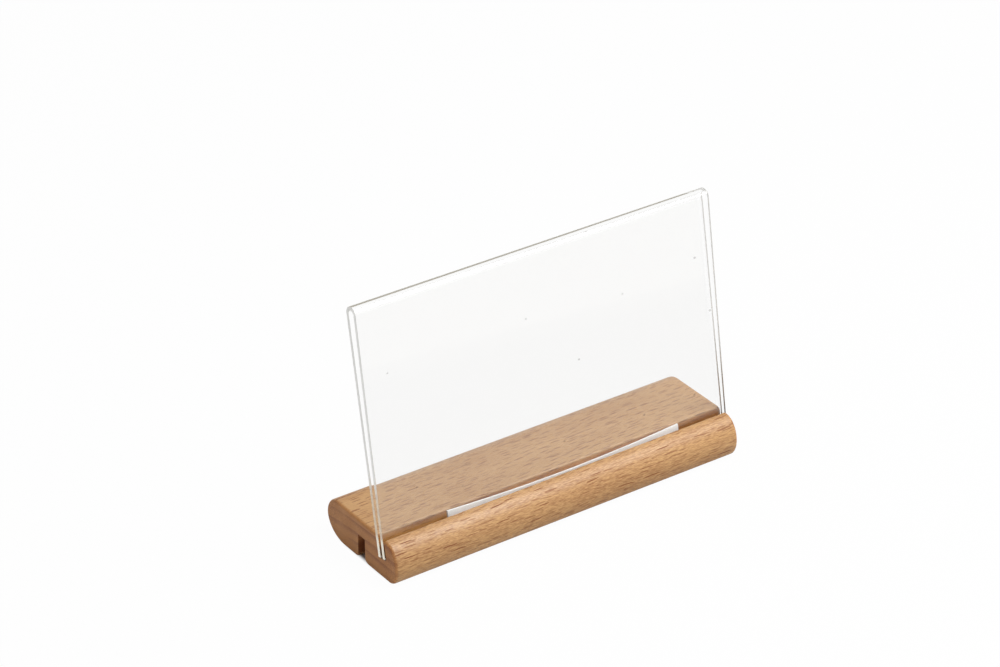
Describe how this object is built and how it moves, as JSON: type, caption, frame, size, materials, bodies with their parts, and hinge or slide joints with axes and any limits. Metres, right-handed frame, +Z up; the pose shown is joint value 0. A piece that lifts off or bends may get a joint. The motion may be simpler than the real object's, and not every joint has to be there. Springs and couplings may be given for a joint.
{
  "type": "acrylic sign holder",
  "caption": "Table sign holder: a clear acrylic sleeve, folded along its top, stands leaning back in a slanted slot along a rounded wooden base and shows a landscape card.",
  "frame": {"origin": "on the table, under the middle of the base", "axes": "+X along the base's length, to the right as seen from the front; -Y towards the front, the side the card faces; +Z up"},
  "size_m": [0.1504, 0.0448, 0.1011],
  "materials": {
    "beech": "satin, lightly oiled, short dark flecks along the grain",
    "clear_acrylic": "clear and polished, with saw-cut ends",
    "white_strip": "matt white"
  },
  "bodies": {
    "base": {"wooden_base": "beech"},
    "sleeve": {"acrylic_sleeve": "clear_acrylic", "spacer_strip": "white_strip"}
  },
  "joints": [
    {"name": "sleeve_lift", "type": "slide", "parent": "base", "child": "sleeve", "axis": [0, 0.1771, 0.9842], "range_m": [0, 0.03]}
  ]
}
